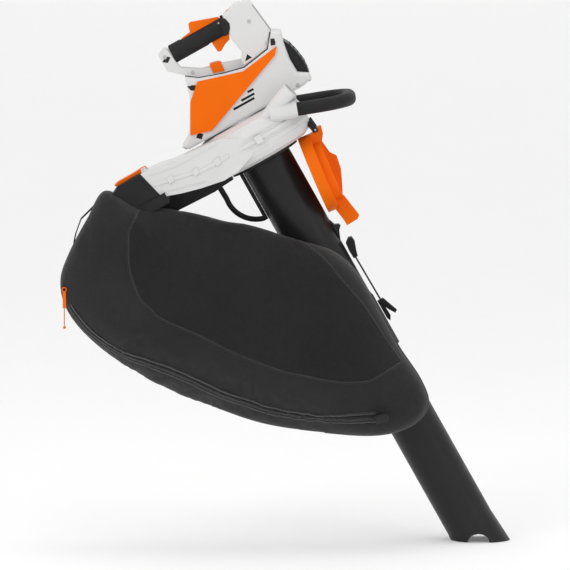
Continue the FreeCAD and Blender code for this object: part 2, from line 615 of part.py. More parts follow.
# ---------------------------------------- suction tube
TUBE = dim("tube_radius")
upper = Piece("tube_upper")
upper.turn([(TUBE - 2.5, 0), (TUBE, 2.6), (COLLAR_RADIUS, 2.6), (COLLAR_RADIUS, -4.5), (TUBE + 2, -6),
            (TUBE, -7.5), (TUBE, -370), (TUBE + 1.5, -376), (TUBE + 1.5, -405), (TUBE - 2.5, -405)])
LOWER = dim("lower_tube_radius")
lower = Piece("tube_lower")
lower.turn([(LOWER - 2.5, -330), (LOWER, -330), (LOWER, -925), (LOWER + 4, -985), (LOWER + 7, -1040),
            (LOWER + 4, -1040), (LOWER + 1, -985), (LOWER - 2.5, -925)])
inverse = MACHINE.inverse()


def machine_point(x, z):
    """A point given in the part's own frame, as sketch coordinates of the machine frame."""
    moved = inverse.multVec(Vector(x, 0, z))
    return (moved.x, moved.z)


ARCH_X, ARCH_RADIUS = 616, 24
below = [machine_point(400, GROUND)]
for step in range(9):
    angle = math.radians(180 - 22.5 * step)
    rise = 0.8 * ARCH_RADIUS * math.sin(angle)
    below.append(machine_point(ARCH_X + ARCH_RADIUS * math.cos(angle), GROUND + rise))
below += [machine_point(900, GROUND), machine_point(900, GROUND - 200), machine_point(400, GROUND - 200)]
lower.cut(lower.outline(below), "300", both=True)
hook = Piece("tube_hook")
hook.pad(hook.outline([(TUBE - 0.2, -190), (TUBE + 5, -204), (TUBE + 14, -208), (TUBE + 15, -213),
                       (TUBE + 8, -220), (TUBE - 0.2, -240)]), "22", both=True)
doc.recompute()
tube_core = Piece("tube_core", listed=False)
tube_core.pad(tube_core.circles([(0, 0)], "dims.tube_radius", "XY_Plane", -1200), "1300")
hook_cut = doc.addObject("Part::Cut", "tube_hook_cut")
hook_cut.Base = hook.body
hook_cut.Tool = tube_core.body
PIECES.remove(hook.body)
hook.body.Label = "hook_blank"
keep(hook_cut, "tube_hook")

# ---------------------------------------- strap between the tube and the bag
strap = Piece("strap_webbing")
strap.pad(strap.outline([(66, -290), (69, -290), (71, -398), (68, -398)]), "dims.strap_width", both=True)
buckle = Piece("strap_buckle")
buckle.pad(buckle.outline([(64, -252), (74, -244), (82, -246), (83, -258), (76, -278), (73, -289.9),
                           (63, -289.9), (62, -270)]), "26", both=True)
buckle.cut(buckle.outline(rectangle(50, -276, 100, -262)), "16", both=True)
strap_hook = Piece("strap_hook_lower")
strap_hook.pad(strap_hook.outline([(62, -398.1), (76, -398.1), (84, -420), (90, -436), (84, -440), (76, -428),
                                   (71, -418), (72, -440), (66, -450), (62, -440)]), "16", both=True)

# ---------------------------------------- collecting bag
BAG_OUTLINE = [
    (-198, -328), (-236, -388), (-275, -461), (-294, -520), (-281, -580), (-236, -638), (-159, -699),
    (-60, -754), (50, -797), (151, -829), (270, -846), (384, -854), (460, -835), (497, -790),
    (480, -735), (430, -662), (385, -576), (340, -502), (285, -456), (200, -428), (120, -407),
    (60, -399), (0, -381), (-60, -369), (-130, -364),
]


def closed_curve(points, y):
    curve = Part.BSplineCurve()
    curve.interpolate([Vector(x, y, z) for x, z in points], PeriodicFlag=True)
    return Part.Wire(curve.toShape())


def shrunk(points, share):
    """The outline drawn in towards its middle."""
    middle_x = sum(x for x, z in points) / len(points)
    middle_z = sum(z for x, z in points) / len(points)
    return [(middle_x + (x - middle_x) * share, middle_z + (z - middle_z) * share) for x, z in points]


def bag_form(gap):
    """The closed form of the bag, drawn in by a gap all round."""
    near, far = -dim("bag_near") + gap, dim("bag_far") - gap
    whole = shrunk(BAG_OUTLINE, 1 - gap / 200)
    stations = ((near, 0.70), (near + 22, 0.87), (near + 60, 0.96), (-95, 1.0), (-60, 0.985),
                (far - 40, 0.93), (far - 12, 0.84), (far, 0.70))
    return Part.makeLoft([closed_curve(shrunk(whole, share), y) for y, share in stations], True, False)


def machine_prism(points, low, high):
    """A prism with its outline in the machine's side plane, between two distances towards the near side."""
    wire = Part.makePolygon([Vector(x, -low, z) for x, z in points + points[:1]])
    prism = Part.Face(wire).extrude(Vector(0, low - high, 0))
    prism.Placement = MACHINE
    return prism


def tube_space(radius, slack):
    """The space of the tube and everything in front of it on the far side of the bag."""
    along = Part.makeCylinder(radius, 1300, Vector(0, 0, -1250))
    ahead = Part.makeBox(900, 400, 1300, Vector(0, -radius + slack, -1250))
    both = along.fuse(ahead)
    both.Placement = MACHINE
    return both


bag_outer = bag_form(0)
bag_inner = bag_form(dim("bag_wall"))
mouth_clear = machine_prism([(-336, 22), (-336, 140), (-220, 140), (-220, 22)], 42, 136)
bar_clear = machine_prism([(-420, -18), (-420, 300), (100, 300), (100, -18)], -200, 42.5)
blocks = [mouth_clear, bar_clear, tube_space(TUBE + 3, 0)]
thick_blocks = [
    machine_prism([(-339, 19), (-339, 140), (-217, 140), (-217, 19)], 39, 139),
    machine_prism([(-420, -21), (-420, 300), (100, 300), (100, -21)], -200, 45.5),
    tube_space(TUBE + 6, 0),
]
mouth = machine_prism([(-312, -10), (-312, 40), (-233, 40), (-233, -10)], DUCT_NEAR + 3, DUCT_NEAR + 73)
solid = bag_outer.cut(blocks)
hollow = bag_inner.cut(thick_blocks)
shell = solid.cut([hollow, mouth])
bag = doc.addObject("Part::Feature", "bag_body")
bag.Shape = max(shell.Solids, key=lambda part: part.Volume)
keep(bag, "bag_body")

sleeve = Piece("bag_sleeve")
sleeve.turn(ring(TUBE + 1.7, TUBE + 2.9, -500, -380))


def side_prism(points, low, high):
    """A prism with its outline in the part's own side plane, between two distances towards the near side."""
    wire = Part.makePolygon([Vector(x, -low, z) for x, z in points + points[:1]])
    return Part.Face(wire).extrude(Vector(0, low - high, 0))


def on_bag(label, points, low, high):
    """A flat piece sewn to the bag: its outline in the side view, trimmed to the bag's surface."""
    blank = side_prism(points, low, high)
    made = doc.addObject("Part::Feature", label)
    made.Shape = max(blank.cut(bag_outer).Solids, key=lambda part: part.Volume)
    return keep(made, label)


on_bag("bag_loop", [(-204, -340), (-228, -356), (-256, -384), (-268, -417), (-272, -436), (-268, -454),
                    (-265.5, -454), (-269, -436), (-265.5, -418), (-254, -386), (-226, -359),
                    (-202, -343)], 85, 105)
on_bag("zip_slider", [(-295, -526), (-284, -524), (-284, -540), (-295, -538)], 122, 143)
PULL_PIVOT = Vector(-290.5, -147.5, -534)
pull_link = Part.makeTorus(4.5, 1.2, PULL_PIVOT - Vector(0, 0, 1), Vector(0, 1, 0))
pull_bar = Part.makeBox(7, 3, 36, PULL_PIVOT + Vector(-3.5, -1.5, -42))
pull_cord = Part.makeCylinder(1.1, 42, PULL_PIVOT - Vector(0, 0, 83))
pull_knot = Part.makeSphere(3.2, PULL_PIVOT - Vector(0, 0, 84))
zip_pull = doc.addObject("Part::Feature", "zip_pull")
zip_pull.Shape = pull_link.fuse([pull_bar, pull_cord, pull_knot]).removeSplitter()
keep(zip_pull, "zip_pull")
tab_points = [(386, -806), (406, -800), (416, -805), (415, -820), (390, -826)]
tab_blank = side_prism(tab_points, 120, 214)
end_tab = doc.addObject("Part::Feature", "zip_end_tab")
end_tab.Shape = tab_blank.common(bag_form(-2)).cut(bag_outer)
keep(end_tab, "zip_end_tab")

# ---------------------------------------- screws and pins
screws = []
for x, z in boss_places:
    for y in (-49, 44):
        screws.append(cylinder(f"screw_{len(screws)}", "dims.screw_radius - 0.2", "5", across(x, y, z)))
group("housing_screws", screws)
handle_places = [(-82, 299, 19), (118, 279, 46), (-45, 240.5, 19), (128, 218, 46)]
handle_screws = []
for x, z, half in handle_places:
    for y in (-half - 1.3, half + 0.1):
        handle_screws.append(
            cylinder(f"handle_screw_{len(handle_screws)}", "dims.screw_radius - 0.2", "1.2", across(x, y, z)))
group("handle_screws", handle_screws)
group("lever_pins", pins)

# ---------------------------------------- check and write
doc.recompute()
for item in doc.Objects:
    if "Invalid" in item.State or "Error" in item.State:
        raise RuntimeError(f"{item.Name} failed: {item.State}")
for piece in PIECES:
    if piece.Shape.isNull() or not piece.Shape.isValid():
        raise RuntimeError(f"{piece.Label} has no valid shape")
os.makedirs("parts", exist_ok=True)
for piece in PIECES:
    piece.Shape.exportStep(f"parts/{piece.Label}.step")
print(len(PIECES), "sub-parts written")
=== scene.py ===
import json
import math

import bmesh
import bpy
import numpy as np
from mathutils import Matrix, Vector
from mathutils.bvhtree import BVHTree
from mathutils.kdtree import KDTree


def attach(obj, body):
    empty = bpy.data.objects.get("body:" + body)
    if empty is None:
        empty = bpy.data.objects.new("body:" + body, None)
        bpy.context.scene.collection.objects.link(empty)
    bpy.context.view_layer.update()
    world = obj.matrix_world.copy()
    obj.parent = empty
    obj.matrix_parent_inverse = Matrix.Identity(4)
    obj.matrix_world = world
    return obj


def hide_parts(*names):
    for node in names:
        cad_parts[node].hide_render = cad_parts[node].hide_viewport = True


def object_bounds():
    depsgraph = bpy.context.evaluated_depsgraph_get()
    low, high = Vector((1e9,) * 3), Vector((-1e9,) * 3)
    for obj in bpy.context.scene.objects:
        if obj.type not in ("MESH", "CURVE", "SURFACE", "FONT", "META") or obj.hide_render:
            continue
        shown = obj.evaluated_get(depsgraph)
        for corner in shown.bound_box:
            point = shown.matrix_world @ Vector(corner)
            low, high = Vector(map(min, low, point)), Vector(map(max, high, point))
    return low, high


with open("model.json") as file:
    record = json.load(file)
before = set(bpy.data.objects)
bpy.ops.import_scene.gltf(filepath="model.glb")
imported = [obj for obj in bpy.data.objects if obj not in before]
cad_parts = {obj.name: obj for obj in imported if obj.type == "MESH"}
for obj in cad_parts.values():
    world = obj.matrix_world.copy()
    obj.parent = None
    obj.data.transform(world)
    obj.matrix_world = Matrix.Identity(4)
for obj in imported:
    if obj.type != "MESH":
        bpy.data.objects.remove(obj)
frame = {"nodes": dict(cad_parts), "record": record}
CAD_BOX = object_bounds()
MM = 0.001
NODES = frame["nodes"]

# ------------------------------------------------ the machine's own frame
LEAN = math.radians(29.25)  # the suction tube from upright
GRIP_RISE = 296 * MM
TO_ROW = Matrix.Translation((GRIP_RISE * math.sin(LEAN), 0, -GRIP_RISE * math.cos(LEAN))) @ Matrix.Rotation(
    -LEAN, 4, "Y")
GROUND = CAD_BOX[0].z
ELEVATION = math.radians(6)  # the camera looks slightly down
BACK = Vector((0, -math.cos(ELEVATION), math.sin(ELEVATION)))  # from the object towards the camera
TUBE_RADIUS = 57.5 * MM


def machine(x, y, z):
    """A point given in millimetres of the machine frame, in the row frame."""
    return TO_ROW @ (Vector((x, y, z)) * MM)


# ------------------------------------------------ materials
MIX_FIRST, MIX_SECOND, MIX_RESULT = 6, 7, 2  # the colour sockets of a Mix node


class Look:
    """A Principled material whose colour, roughness and bump come from procedural nodes."""

    def __init__(self, name, colour, roughness, **sockets):
        self.material = bpy.data.materials.new(name)
        self.material.use_nodes = True
        self.nodes = self.material.node_tree.nodes
        self.links = self.material.node_tree.links
        self.shader = self.nodes["Principled BSDF"]
        self.colour = (*colour, 1)
        self.roughness = roughness
        for socket, value in sockets.items():
            self.shader.inputs[socket.replace("_", " ")].default_value = value
        self.coords = self.nodes.new("ShaderNodeTexCoord").outputs["Object"]
        self.height = None

    def noise(self, scale, detail=3, stretch=(1, 1, 1)):
        """Noise in the row frame, with features about 1/scale metres wide."""
        mapping = self.nodes.new("ShaderNodeMapping")
        mapping.inputs["Scale"].default_value = stretch
        texture = self.nodes.new("ShaderNodeTexNoise")
        texture.inputs["Scale"].default_value = scale
        texture.inputs["Detail"].default_value = detail
        self.links.new(self.coords, mapping.inputs["Vector"])
        self.links.new(mapping.outputs["Vector"], texture.inputs["Vector"])
        return texture.outputs["Fac"]

    def spread(self, source, low, high):
        """A value between low and high, driven by a noise's middle half."""
        mapped = self.nodes.new("ShaderNodeMapRange")
        mapped.inputs["From Min"].default_value = 0.3
        mapped.inputs["From Max"].default_value = 0.7
        mapped.inputs["To Min"].default_value = low
        mapped.inputs["To Max"].default_value = high
        self.links.new(source, mapped.inputs["Value"])
        return mapped.outputs["Result"]

    def tint(self, factor, first, second):
        """A colour between two, each a factor on the material's own colour or a colour."""
        mix = self.nodes.new("ShaderNodeMix")
        mix.data_type = "RGBA"
        for socket, value in ((mix.inputs[MIX_FIRST], first), (mix.inputs[MIX_SECOND], second)):
            if isinstance(value, bpy.types.NodeSocket):
                self.links.new(value, socket)
            elif isinstance(value, tuple):
                socket.default_value = value
            else:
                socket.default_value = tuple(c * value for c in self.colour[:3]) + (1,)
        self.links.new(factor, mix.inputs[0])
        return mix.outputs[MIX_RESULT]

    def maths(self, operation, first, second=None):
        """The result of one Math node."""
        node = self.nodes.new("ShaderNodeMath")
        node.operation = operation
        for socket, value in zip(node.inputs, (first, second)):
            if isinstance(value, bpy.types.NodeSocket):
                self.links.new(value, socket)
            elif value is not None:
                socket.default_value = value
        return node.outputs[0]

    def bump(self, height, distance, strength=1.0):
        """Adds relief of about that many metres."""
        node = self.nodes.new("ShaderNodeBump")
        node.inputs["Distance"].default_value = distance
        node.inputs["Strength"].default_value = strength
        self.links.new(height, node.inputs["Height"])
        if self.height is not None:
            self.links.new(self.height, node.inputs["Normal"])
        self.height = node.outputs["Normal"]

    def weave(self, thread, relief):
        """Adds the relief of two crossing sets of threads."""
        split = self.nodes.new("ShaderNodeSeparateXYZ")
        self.links.new(self.coords, split.inputs[0])
        turn = 2 * math.pi / thread
        warp = self.maths("SINE", self.maths("MULTIPLY", split.outputs["X"], turn))
        weft = self.maths("SINE", self.maths("MULTIPLY", split.outputs["Z"], turn))
        self.bump(self.maths("MULTIPLY", warp, weft), relief)

    def mix(self, share, first, second, blend="MIX"):
        """Two colour outputs mixed in a fixed share."""
        mixed = self.nodes.new("ShaderNodeMix")
        mixed.data_type = "RGBA"
        mixed.blend_type = blend
        mixed.inputs[0].default_value = share
        self.links.new(first, mixed.inputs[MIX_FIRST])
        self.links.new(second, mixed.inputs[MIX_SECOND])
        return mixed.outputs[MIX_RESULT]

    def finish(self, colour, roughness):
        self.links.new(colour, self.shader.inputs["Base Color"])
        self.links.new(roughness, self.shader.inputs["Roughness"])
        if self.height is not None:
            self.links.new(self.height, self.shader.inputs["Normal"])
        return self.material


def moulded(name, colour, roughness, grain, relief, shade=0.06, **sockets):
    """Injection-moulded plastic: fine spark-eroded grain, slow drift of tone, a little uneven gloss."""
    look = Look(name, colour, roughness, **sockets)
    look.bump(look.noise(grain, 2), relief)
    drift = look.noise(9, 2)
    tone = look.tint(look.spread(drift, 0, 1), 1 - shade, 1 + shade)
    return look.finish(tone, look.spread(look.noise(60, 3), roughness - 0.05, roughness + 0.06))


def metal(name, colour, roughness, stretch):
    """Brushed or turned metal, its marks stretched along one axis."""
    look = Look(name, colour, roughness, Metallic=1.0)
    brushed = look.noise(500, 2, stretch)
    look.bump(brushed, 0.00004)
    tone = look.tint(look.spread(brushed, 0, 1), 0.85, 1.1)
    return look.finish(tone, look.spread(look.noise(80), roughness - 0.06, roughness + 0.1))


def woven(name, colour, thread, relief, roughness=0.85, sheen=0.25):
    """Plain-woven synthetic cloth: two crossing sets of threads, fuzz and slow fading."""
    look = Look(name, colour, roughness, Sheen_Weight=sheen, Sheen_Roughness=0.5)
    look.shader.inputs["Specular IOR Level"].default_value = 0.25
    look.weave(thread, relief)
    look.bump(look.noise(1400, 2), relief)
    look.bump(look.noise(26, 4), 0.0012)
    tone = look.tint(look.spread(look.noise(7, 3), 0, 1), 0.82, 1.18)
    fuzz = look.tint(look.spread(look.noise(700, 2), 0, 1), 0.85, 1.15)
    gloss = look.spread(look.noise(120), roughness - 0.08, roughness + 0.05)
    return look.finish(look.mix(0.35, tone, fuzz), gloss)


WHITE = moulded("white_shell", (0.7, 0.7, 0.695), 0.4, 1500, 0.00003, 0.02, Specular_IOR_Level=0.4)
ORANGE = moulded("orange_plastic", (0.9, 0.15, 0.001), 0.45, 1500, 0.00003, 0.04, Specular_IOR_Level=0.1)
BLACK = moulded("black_plastic", (0.014, 0.014, 0.015), 0.42, 1300, 0.00008, 0.12, Specular_IOR_Level=0.22)
TUBE = moulded("tube_plastic", (0.014, 0.014, 0.0145), 0.38, 900, 0.00004, 0.1, Specular_IOR_Level=0.25)
RUBBER = moulded("soft_grip", (0.014, 0.014, 0.0145), 0.6, 900, 0.00012, 0.15, Specular_IOR_Level=0.25)
FAN = moulded("fan_plastic", (0.1, 0.1, 0.105), 0.5, 900, 0.00006, 0.1)
BOARD = moulded("board", (0.02, 0.13, 0.05), 0.4, 300, 0.0001, 0.2)
# Near-black for the dark parting lines of the shells, and painted shade: the plates that stand for the shade
# in the screw wells and behind the vent slots.
SHADE_AND_JOINT_DARK = moulded("joint_and_painted_shade_dark", (0.006, 0.006, 0.006), 0.7, 600, 0.00005, 0.2)
STEEL = metal("steel", (0.55, 0.55, 0.56), 0.3, (1, 1, 8))
ALUMINIUM = metal("aluminium", (0.7, 0.7, 0.72), 0.38, (1, 1, 1))
COPPER = metal("copper", (0.72, 0.4, 0.2), 0.4, (1, 1, 10))
WEBBING = woven("webbing", (0.012, 0.012, 0.013), 0.0016, 0.0002, 0.8, 0.2)
PIPE = woven("bag_piping", (0.06, 0.06, 0.062), 0.0012, 0.0002, 0.7, 0.3)
BAG_EDGE = woven("bag_edge", (0.026, 0.026, 0.027), 0.0014, 0.0002, 0.75, 0.25)
THREAD = woven("bag_thread", (0.045, 0.045, 0.046), 0.0006, 0.0001, 0.7, 0.3)
TEETH = moulded("zip_coil", (0.012, 0.012, 0.012), 0.35, 900, 0.00003, 0.1)

LOOKS = {
    "white_shell": WHITE, "orange_plastic": ORANGE, "black_plastic": BLACK, "soft_grip": RUBBER,
    "fan_plastic": FAN, "steel": STEEL, "aluminium": ALUMINIUM, "copper": COPPER, "board": BOARD,
    "webbing": WEBBING,
}


def bag_cloth():
    """The bag's cloth: its side panel is a denser, darker cloth than the gusset round it."""
    look = Look("bag_fabric", (0.0165, 0.0165, 0.0168), 0.8, Sheen_Weight=0.12, Sheen_Roughness=0.45,
                Specular_IOR_Level=0.15)
    seam = look.nodes.new("ShaderNodeAttribute")
    seam.attribute_name = "panel"
    inside = look.maths("GREATER_THAN", seam.outputs["Fac"], 0.0)
    look.weave(0.0022, 0.0001)
    look.bump(look.noise(900, 3), 0.0002)
    look.bump(look.noise(22, 5), 0.0016)
    mesh_tone = look.tint(look.spread(look.noise(500, 2), 0, 1), 1.15, 1.5)
    cloth_tone = look.tint(look.spread(look.noise(300, 3), 0, 1), 0.85, 1.1)
    patch = look.tint(inside, mesh_tone, cloth_tone)
    faded = look.tint(look.spread(look.noise(6, 3), 0, 1), (0.7, 0.7, 0.7, 1), (1.2, 1.2, 1.2, 1))
    return look.finish(look.mix(0.5, patch, faded, "MULTIPLY"), look.spread(look.noise(90), 0.72, 0.86))


BAG = bag_cloth()
LOOKS["bag_fabric"] = BAG

# ------------------------------------------------ mesh helpers
def new_object(name, vertices, faces, material, smooth=True):
    """A mesh object in the scene, with one material."""
    mesh = bpy.data.meshes.new(name)
    mesh.from_pydata([tuple(v) for v in vertices], [], faces)
    mesh.materials.append(material)
    mesh.update()
    made = bpy.data.objects.new(name, mesh)
    bpy.context.scene.collection.objects.link(made)
    if smooth:
        mesh.shade_smooth()
    return made


def face_outward(made):
    """Turns every face of a closed piece outward."""
    bm = bmesh.new()
    bm.from_mesh(made.data)
    bmesh.ops.recalc_face_normals(bm, faces=bm.faces)
    bm.to_mesh(made.data)
    bm.free()


def soften(made, width):
    """Rounds a piece's edges a little."""
    edges = made.modifiers.new("edges", "BEVEL")
    edges.width = width
    edges.segments = 2
    return edges


def smooth_loop(points, count, closed=True):
    """Points spread evenly along a Catmull-Rom curve through the given ones."""
    given = [Vector(p) for p in points]
    total = len(given)
    fine = []
    spans = total if closed else total - 1
    for k in range(spans):
        if closed:
            a, b, c, d = (given[(k + j - 1) % total] for j in range(4))
        else:
            a, b, c, d = (given[min(max(k + j - 1, 0), total - 1)] for j in range(4))
        for step in range(24):
            t = step / 24
            fine.append(0.5 * ((2 * b) + (c - a) * t + (2 * a - 5 * b + 4 * c - d) * t ** 2
                               + (3 * b - a - 3 * c + d) * t ** 3))
    fine.append(given[0] if closed else given[-1])
    lengths = np.cumsum([0] + [(q - p).length for p, q in zip(fine, fine[1:])])
    wanted = np.linspace(0, lengths[-1], count + 1)[: count if closed else count + 1]
    flat = np.array(fine)
    return [Vector([np.interp(w, lengths, flat[:, axis]) for axis in range(flat.shape[1])]) for w in wanted]


def tube_along(name, points, radius, material, sides=8):
    """A closed-ended tube along points."""
    points = [Vector(p) for p in points]
    vertices, faces = [], []
    side = None
    for k, point in enumerate(points):
        ahead = (points[min(k + 1, len(points) - 1)] - points[max(k - 1, 0)]).normalized()
        if side is None:
            side = Vector((0, 1, 0)) if abs(ahead.y) < 0.9 else Vector((1, 0, 0))
        side = (side - ahead * side.dot(ahead)).normalized()
        up = ahead.cross(side)
        for s in range(sides):
            angle = 2 * math.pi * s / sides
            vertices.append(point + (side * math.cos(angle) + up * math.sin(angle)) * radius)
    for k in range(len(points) - 1):
        for s in range(sides):
            n = (s + 1) % sides
            faces.append((k * sides + s, k * sides + n, (k + 1) * sides + n, (k + 1) * sides + s))
    faces.append(tuple(range(sides))[::-1])
    faces.append(tuple(len(vertices) - sides + s for s in range(sides)))
    return new_object(name, vertices, faces, material)


# ------------------------------------------------ the CAD pieces that stay
SHARP = math.radians(38)
for row in frame["record"]["subparts"]:
    node = NODES[row["node"]]
    node.data.materials.clear()
    node.data.materials.append(TUBE if row["node"].startswith("tube_") else LOOKS[row["material_slot"]])
    bevel = soften(node, 0.9 * MM)
    bevel.limit_method = "ANGLE"
    bevel.angle_limit = SHARP

# ------------------------------------------------ the collecting bag
BAG_OUTLINE = [
    (-198, -328), (-236, -388), (-275, -461), (-294, -520), (-281, -580), (-236, -638), (-159, -699),
    (-60, -754), (50, -797), (151, -829), (270, -846), (384, -854), (460, -835), (497, -790),
    (480, -735), (430, -662), (385, -576), (340, -502), (285, -456), (200, -428), (120, -407),
    (60, -399), (0, -381), (-60, -369), (-130, -364),
]
BAG_NEAR, BAG_RIM, BAG_FAR = -209 * MM, -95 * MM, 39 * MM
AROUND, ACROSS = 300, 64
# The seam round the side panel, as it is seen in the side view.
SEAM_SEEN = [
    (-118, -352), (-131, -386), (-147, -424), (-148, -456), (-148, -494), (-144, -515), (-125, -568),
    (-102, -591), (-75, -615), (-2, -647), (86, -691), (181, -727), (226, -737), (290, -750),
    (325, -753), (371, -750), (402, -734), (436, -713), (441, -704), (409, -660), (364, -589),
    (318, -536), (280, -489), (235, -450),
]
SEAM_OUTSIDE = [(210, -380), (-90, -310)]
ZIP_SEEN = [
    (-279, -588), (-264, -610), (-232, -646), (-170, -688), (-113, -709), (-60, -728), (-16, -747),
    (54, -780), (115, -800), (152, -813), (212, -825), (269, -832), (318, -833), (388, -829),
]
rim = smooth_loop([(x * MM, z * MM) for x, z in BAG_OUTLINE], AROUND)
middle = sum(rim, Vector((0, 0))) / len(rim)


def bag_point(share, towards, depth_share):
    """A point of the bag: share 0..1 from its middle to the rim, on the near or the far side."""
    flat = middle + (towards - middle) * share
    deep = (BAG_NEAR if depth_share < 0 else BAG_FAR) - BAG_RIM
    return Vector((flat.x, BAG_RIM + deep * abs(depth_share), flat.y))


TUBE_GAP = 4.5 * MM
ROOF = -20 * MM  # the cloth stays below the support bar ...
ROOF_SIDE = -43 * MM  # ... on this side of it


def keep_clear(point):
    """Draws a point of the bag back from the tube, the support bar and the adapter."""
    local = TO_ROW.inverted() @ point
    reach = TUBE_RADIUS + TUBE_GAP
    if local.x > -reach:
        limit = -reach if local.x > 0 else -math.sqrt(max(reach ** 2 - local.x ** 2, 0))
        local.y = min(local.y, limit)
    if local.y > ROOF_SIDE and local.z > ROOF:
        local.z = ROOF
    return TO_ROW @ local


def grid_faces(rings):
    """The faces between rings of points that go round the bag."""
    faces = []
    for r in range(rings - 1):
        for k in range(AROUND):
            n = (k + 1) % AROUND
            faces.append((r * AROUND + k, r * AROUND + n, (r + 1) * AROUND + n, (r + 1) * AROUND + k))
    return faces


def build_bag():
    """A closed form that is rounder than an ellipse in its depth, drawn clear of its neighbours."""
    power = 2.7
    vertices = []
    shares = []
    for k in range(1, ACROSS):
        angle = math.pi * k / ACROSS - math.pi / 2
        round_share = abs(math.cos(angle)) ** (2 / power)
        depth = math.copysign(abs(math.sin(angle)) ** (2 / power), math.sin(angle))
        shares.append((round_share, depth))
    for share, depth in shares:
        for towards in rim:
            vertices.append(keep_clear(bag_point(share, towards, depth)))
    rings = len(shares)
    faces = grid_faces(rings)
    for ring_start, near in ((0, True), ((rings - 1) * AROUND, False)):
        pole = len(vertices)
        vertices.append(keep_clear(bag_point(0, middle, -1 if near else 1)))
        for k in range(AROUND):
            face = (ring_start + k, ring_start + (k + 1) % AROUND, pole)
            faces.append(face[::-1] if near else face)
    made = new_object("bag_body_cloth", vertices, faces, BAG)
    face_outward(made)
    return made


def inflate(obj, frames, growth, cap):
    """Lets the cloth, cut a little too large, fill with air, and keeps each point near where it was."""
    start = [v.co.copy() for v in obj.data.vertices]
    remesh = obj.modifiers.new("even", "REMESH")
    remesh.mode = "VOXEL"
    remesh.voxel_size = 6 * MM
    scene = bpy.context.scene
    graph = bpy.context.evaluated_depsgraph_get()
    even = bpy.data.meshes.new_from_object(obj.evaluated_get(graph))
    obj.modifiers.clear()
    proxy = bpy.data.objects.new("bag_proxy", even)
    scene.collection.objects.link(proxy)
    before = np.empty(len(even.vertices) * 3, np.float32)
    even.vertices.foreach_get("co", before)
    cloth = proxy.modifiers.new("cloth", "CLOTH")
    cloth.settings.quality = 4
    cloth.settings.mass = 0.3
    cloth.settings.tension_stiffness = 12
    cloth.settings.compression_stiffness = 12
    cloth.settings.bending_stiffness = 0.35
    cloth.settings.use_pressure = True
    cloth.settings.uniform_pressure_force = 4
    cloth.settings.shrink_min = -growth
    cloth.settings.effector_weights.gravity = 0
    cloth.point_cache.frame_start = 1
    cloth.point_cache.frame_end = frames
    for frame_number in range(1, frames + 1):
        scene.frame_set(frame_number)
    graph = bpy.context.evaluated_depsgraph_get()
    settled = proxy.evaluated_get(graph).to_mesh()
    after = np.empty(len(settled.vertices) * 3, np.float32)
    settled.vertices.foreach_get("co", after)
    scene.frame_set(1)
    moved = (after - before).reshape(-1, 3)
    near = KDTree(len(even.vertices))
    for index, vertex in enumerate(even.vertices):
        near.insert(vertex.co, index)
    near.balance()
    for vertex, place in zip(obj.data.vertices, start):
        found = near.find_n(place, 4)
        weights = [1 / (distance + 0.001) for co, index, distance in found]
        shift = sum((Vector(moved[index]) * w for (co, index, distance), w in zip(found, weights)), Vector())
        shift /= sum(weights)
        if shift.length > cap:
            shift *= cap / shift.length
        vertex.co = keep_clear(place + shift)
    bpy.data.objects.remove(proxy)


bag = build_bag()
inflate(bag, frames=14, growth=0.035, cap=7 * MM)


def seen(point):
    """A point of the bag in the side view: across, and up as the camera sees it."""
    return point.x, point.z + point.y * math.tan(ELEVATION)


def mark_panel(obj):
    """Writes each point's distance from the side panel's seam, positive inside the panel."""
    loop = smooth_loop([(x * MM, z * MM) for x, z in SEAM_SEEN + SEAM_OUTSIDE], 300)
    edge = np.array([(p.x, p.y) for p in loop])
    following = np.roll(edge, -1, axis=0)
    flat = np.array([seen(v.co) for v in obj.data.vertices])
    depth = np.array([v.co.y for v in obj.data.vertices])
    run = following - edge
    lengths = (run ** 2).sum(1)
    values = np.empty(len(flat), np.float32)
    for index, point in enumerate(flat):
        along = np.clip(((point - edge) * run).sum(1) / lengths, 0, 1)
        away = np.sqrt(((edge + run * along[:, None] - point) ** 2).sum(1)).min()
        crosses = (edge[:, 1] > point[1]) != (following[:, 1] > point[1])
        at = edge[:, 0] + (point[1] - edge[:, 1]) * run[:, 0] / np.where(run[:, 1] == 0, 1e-12, run[:, 1])
        inside = np.count_nonzero(crosses & (point[0] < at)) % 2 == 1 and depth[index] < BAG_RIM
        values[index] = away if inside else -away
    attribute = obj.data.attributes.new("panel", "FLOAT", "POINT")
    attribute.data.foreach_set("value", values)


mark_panel(bag)
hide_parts("bag_body")
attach(bag, "machine")
surface = BVHTree.FromObject(bag, bpy.context.evaluated_depsgraph_get())


def on_bag(x, z, lift=0.0):
    """The point of the bag that the side view shows at that place, raised off the cloth, and its normal."""
    aim = Vector((x, 0, z))
    hit, normal, _, _ = surface.ray_cast(aim + BACK, -BACK)
    if hit is None:
        hit, normal, _, _ = surface.find_nearest(aim + BACK * -BAG_RIM)
    if normal.dot(hit - Vector((middle.x, BAG_RIM, middle.y))) < 0:
        normal = -normal
    return hit + normal * lift, normal


def sewn_path(points, spacing):
    """Points of the side view laid on the cloth, at an even spacing."""
    rough = smooth_loop([(x * MM, z * MM) for x, z in points], 400, closed=False)
    laid = [on_bag(p.x, p.y) for p in rough]
    lengths = np.cumsum([0] + [(b[0] - a[0]).length for a, b in zip(laid, laid[1:])])
    count = int(lengths[-1] / spacing)
    places = np.array([tuple(hit) for hit, normal in laid])
    facing = np.array([tuple(normal) for hit, normal in laid])
    path = []
    for w in np.linspace(0, lengths[-1], count + 1):
        hit = Vector([np.interp(w, lengths, places[:, axis]) for axis in range(3)])
        normal = Vector([np.interp(w, lengths, facing[:, axis]) for axis in range(3)]).normalized()
        path.append((hit, normal))
    return path


def frames_along(path):
    """Each path point with its normal, its run and the direction across it."""
    framed = []
    for k, (hit, normal) in enumerate(path):
        run = (path[min(k + 1, len(path) - 1)][0] - path[max(k - 1, 0)][0]).normalized()
        across = normal.cross(run).normalized()
        framed.append((hit, normal, run, across))
    return framed


